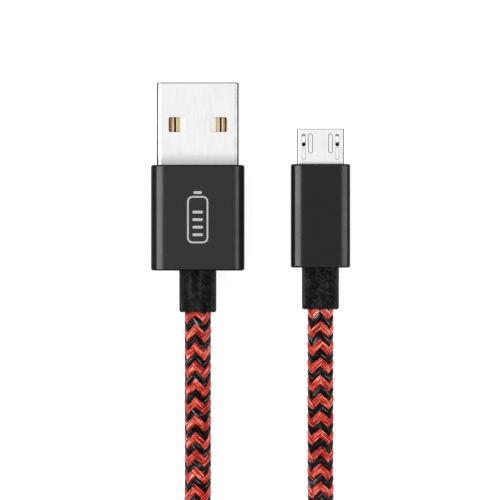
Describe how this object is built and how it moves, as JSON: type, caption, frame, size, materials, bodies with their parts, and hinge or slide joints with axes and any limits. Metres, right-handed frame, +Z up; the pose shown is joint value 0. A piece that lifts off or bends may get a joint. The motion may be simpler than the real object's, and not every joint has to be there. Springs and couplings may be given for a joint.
{
  "type": "charging cable",
  "caption": "Charging cable with a USB-A plug and a micro-USB plug, black metal housings and a red and black braided cord folded into a tied hank.",
  "frame": {"origin": "on the surface the cable lies on, under the middle of the box of both plugs with their boots", "axes": "+Y towards the plugs' tips, +X to the right from the USB-A plug to the micro-USB plug, +Z up"},
  "size_m": [0.0357, 0.1655, 0.0097],
  "materials": {
    "plated_shell": "nickel-plated steel, satin",
    "gold_contact": "gold-plated",
    "spring_steel": "plain spring steel",
    "white_plastic": "white moulded",
    "black_plastic": "black moulded",
    "anodised_black": "fine blasted, black anodised",
    "boot_sleeve": "finely woven black sleeve",
    "red_black_braid": "red and black nylon braid",
    "ferrule_brass": "plain",
    "solder": "tin solder",
    "wire_red": "PVC insulation",
    "wire_white": "PVC insulation",
    "wire_green": "PVC insulation",
    "wire_black": "PVC insulation",
    "tie_strap": "hook-and-loop strap"
  },
  "bodies": {
    "root": {"cord_hank": "red_black_braid", "cord_lead_a": "red_black_braid", "cord_lead_b": "red_black_braid", "hank_tie": "tie_strap", "micro_b_boot": "boot_sleeve", "micro_b_contact_tails": "gold_contact", "micro_b_cord_end": "red_black_braid", "micro_b_ferrule": "ferrule_brass", "micro_b_housing": "anodised_black", "micro_b_inner_mould": "black_plastic", "micro_b_insulator": "black_plastic", "micro_b_latch_root": "spring_steel", "micro_b_shell": "plated_shell", "micro_b_solder": "solder", "micro_b_wire_black": "wire_black", "micro_b_wire_green": "wire_green", "micro_b_wire_red": "wire_red", "micro_b_wire_white": "wire_white", "usb_a_boot": "boot_sleeve", "usb_a_contact_data_minus": "gold_contact", "usb_a_contact_data_plus": "gold_contact", "usb_a_contact_ground": "gold_contact", "usb_a_contact_power": "gold_contact", "usb_a_cord_end": "red_black_braid", "usb_a_ferrule": "ferrule_brass", "usb_a_housing": "anodised_black", "usb_a_inner_mould": "black_plastic", "usb_a_insulator": "white_plastic", "usb_a_shell": "plated_shell", "usb_a_solder": "solder", "usb_a_wire_black": "wire_black", "usb_a_wire_green": "wire_green", "usb_a_wire_red": "wire_red", "usb_a_wire_white": "wire_white"},
    "latch_left": {"micro_b_latch_left": "spring_steel"},
    "latch_right": {"micro_b_latch_right": "spring_steel"},
    "contact_1": {"micro_b_contact_1": "gold_contact"},
    "contact_2": {"micro_b_contact_2": "gold_contact"},
    "contact_3": {"micro_b_contact_3": "gold_contact"},
    "contact_4": {"micro_b_contact_4": "gold_contact"},
    "contact_5": {"micro_b_contact_5": "gold_contact"}
  },
  "joints": [
    {"name": "latch_left_flex", "type": "hinge", "parent": "root", "child": "latch_left", "pos_m": [0.00768, 0.00349, 0.00358], "axis": [1, 0, 0], "range_deg": [-4.2, 0], "stiffness_Nm_per_rad": 0.07},
    {"name": "latch_right_flex", "type": "hinge", "parent": "root", "child": "latch_right", "pos_m": [0.01258, 0.00349, 0.00358], "axis": [1, 0, 0], "range_deg": [-4.2, 0], "stiffness_Nm_per_rad": 0.07},
    {"name": "contact_1_flex", "type": "hinge", "parent": "root", "child": "contact_1", "pos_m": [0.00884, 0.00349, 0.00295], "axis": [1, 0, 0], "range_deg": [-1.5, 0], "stiffness_Nm_per_rad": 0.03},
    {"name": "contact_2_flex", "type": "hinge", "parent": "root", "child": "contact_2", "pos_m": [0.00949, 0.00349, 0.00295], "axis": [1, 0, 0], "range_deg": [-1.5, 0], "stiffness_Nm_per_rad": 0.03},
    {"name": "contact_3_flex", "type": "hinge", "parent": "root", "child": "contact_3", "pos_m": [0.01013, 0.00349, 0.00295], "axis": [1, 0, 0], "range_deg": [-1.5, 0], "stiffness_Nm_per_rad": 0.03},
    {"name": "contact_4_flex", "type": "hinge", "parent": "root", "child": "contact_4", "pos_m": [0.01078, 0.00349, 0.00295], "axis": [1, 0, 0], "range_deg": [-1.5, 0], "stiffness_Nm_per_rad": 0.03},
    {"name": "contact_5_flex", "type": "hinge", "parent": "root", "child": "contact_5", "pos_m": [0.01144, 0.00349, 0.00295], "axis": [1, 0, 0], "range_deg": [-1.5, 0], "stiffness_Nm_per_rad": 0.03}
  ]
}
